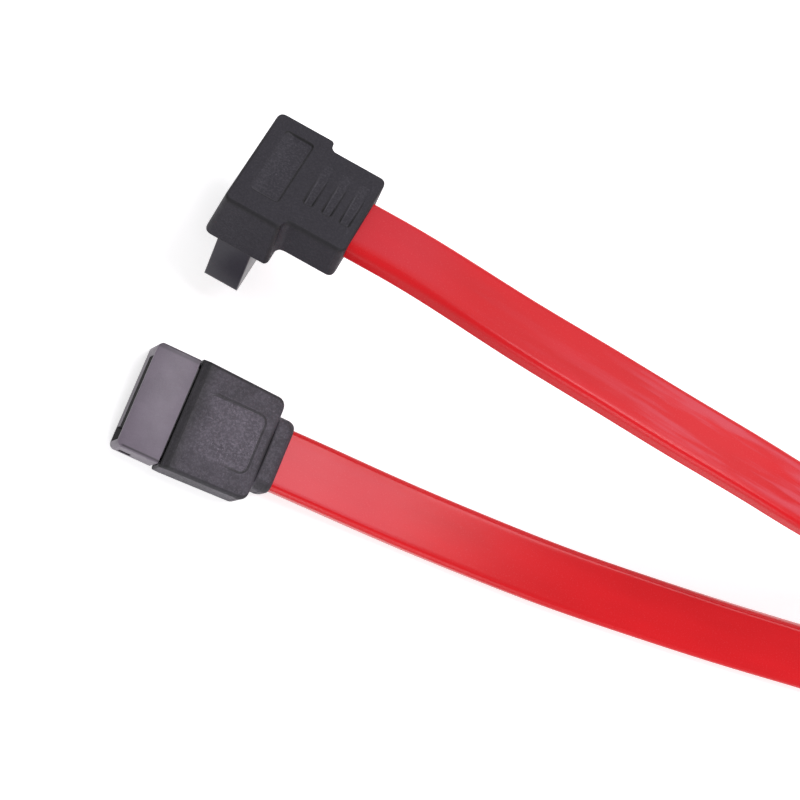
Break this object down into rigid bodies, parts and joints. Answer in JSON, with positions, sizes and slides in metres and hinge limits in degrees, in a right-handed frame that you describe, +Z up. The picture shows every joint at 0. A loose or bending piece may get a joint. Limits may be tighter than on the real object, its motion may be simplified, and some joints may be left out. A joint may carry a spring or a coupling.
{
  "type": "sata data cable",
  "caption": "Flat serial data cable with a straight connector at one end and a right-angle connector at the other, each with a keyed slot, for linking a drive to a main board.",
  "frame": {"origin": "middle of the two connectors' bounding box, at floor level", "axes": "+X from the straight connector's mating face toward its cable, +Y toward the right-angle connector, +Z up"},
  "size_m": [0.2046, 0.0789, 0.0275],
  "materials": {
    "housing_grey": "satin moulded plastic",
    "housing_black": "satin moulded plastic",
    "overmould_grey": "fine spark-eroded texture, matte",
    "overmould_black": "fine spark-eroded texture, matte",
    "cable_red": "smooth flexible plastic, semi-gloss",
    "contact_gold": "gold-plated spring metal",
    "inner_mould": "natural moulded plastic",
    "conductor_insulation": "foamed plastic",
    "drain_tinned": "tinned copper"
  },
  "bodies": {
    "root": {"straight_receptacle": "housing_grey", "straight_contact_1": "contact_gold", "straight_contact_2": "contact_gold", "straight_contact_3": "contact_gold", "straight_contact_4": "contact_gold", "straight_contact_5": "contact_gold", "straight_contact_6": "contact_gold", "straight_contact_7": "contact_gold", "straight_inner_mould": "inner_mould", "straight_overmould": "overmould_grey", "straight_wire_1": "conductor_insulation", "straight_wire_2": "conductor_insulation", "straight_wire_3": "conductor_insulation", "straight_wire_4": "conductor_insulation", "straight_drain_wire_1": "drain_tinned", "straight_drain_wire_2": "drain_tinned", "straight_drain_wire_3": "drain_tinned", "angled_receptacle": "housing_black", "angled_contact_1": "contact_gold", "angled_contact_2": "contact_gold", "angled_contact_3": "contact_gold", "angled_contact_4": "contact_gold", "angled_contact_5": "contact_gold", "angled_contact_6": "contact_gold", "angled_contact_7": "contact_gold", "angled_inner_mould": "inner_mould", "angled_overmould": "overmould_black", "angled_wire_1": "conductor_insulation", "angled_wire_2": "conductor_insulation", "angled_wire_3": "conductor_insulation", "angled_wire_4": "conductor_insulation", "angled_drain_wire_1": "drain_tinned", "angled_drain_wire_2": "drain_tinned", "angled_drain_wire_3": "drain_tinned", "flat_cable": "cable_red"}
  },
  "joints": []
}
